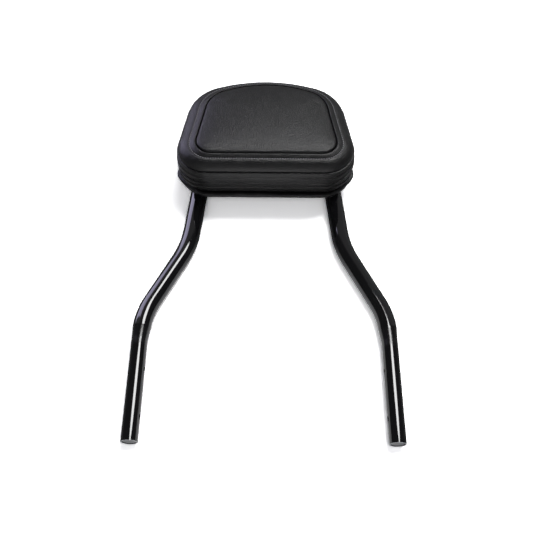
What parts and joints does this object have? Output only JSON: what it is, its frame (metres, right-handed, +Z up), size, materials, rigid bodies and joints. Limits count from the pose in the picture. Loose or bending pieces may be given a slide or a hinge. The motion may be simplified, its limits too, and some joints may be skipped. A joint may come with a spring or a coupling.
{
  "type": "motorbike sissy bar",
  "caption": "Bent tube hoop with outward legs and a thick padded backrest cushion; the legs bolt to brackets beside the rear mudguard.",
  "frame": {"origin": "midway between the two legs, level with the lower bolt holes", "axes": "+Z up along the legs, -Y out of the cushion's face, +X to the right as one looks at that face"},
  "size_m": [0.3596, 0.1129, 0.5317],
  "materials": {
    "black_paint": "gloss",
    "black_vinyl": "satin",
    "black_piping": "satin",
    "foam": "matte",
    "plywood": "matte",
    "zinc_steel": "satin",
    "black_plastic": "matte"
  },
  "bodies": {
    "root": {"hoop_tube": "black_paint", "upper_cross_strap": "black_paint", "lower_cross_strap": "black_paint", "left_upper_bush": "zinc_steel", "left_lower_bush": "zinc_steel", "left_end_plug": "black_plastic", "right_upper_bush": "zinc_steel", "right_lower_bush": "zinc_steel", "right_end_plug": "black_plastic", "cushion_board": "plywood", "cushion_foam": "foam", "face_panel": "black_vinyl", "border_panel": "black_vinyl", "side_band": "black_vinyl", "rear_cover": "black_vinyl", "rear_piping": "black_piping", "upper_left_tee_nut": "zinc_steel", "upper_right_tee_nut": "zinc_steel", "lower_left_tee_nut": "zinc_steel", "lower_right_tee_nut": "zinc_steel", "upper_left_bolt": "zinc_steel", "upper_right_bolt": "zinc_steel", "lower_left_bolt": "zinc_steel", "lower_right_bolt": "zinc_steel", "upper_left_washer": "zinc_steel", "upper_right_washer": "zinc_steel", "lower_left_washer": "zinc_steel", "lower_right_washer": "zinc_steel", "upper_left_lock_washer": "zinc_steel", "upper_right_lock_washer": "zinc_steel", "lower_left_lock_washer": "zinc_steel", "lower_right_lock_washer": "zinc_steel"}
  },
  "joints": []
}
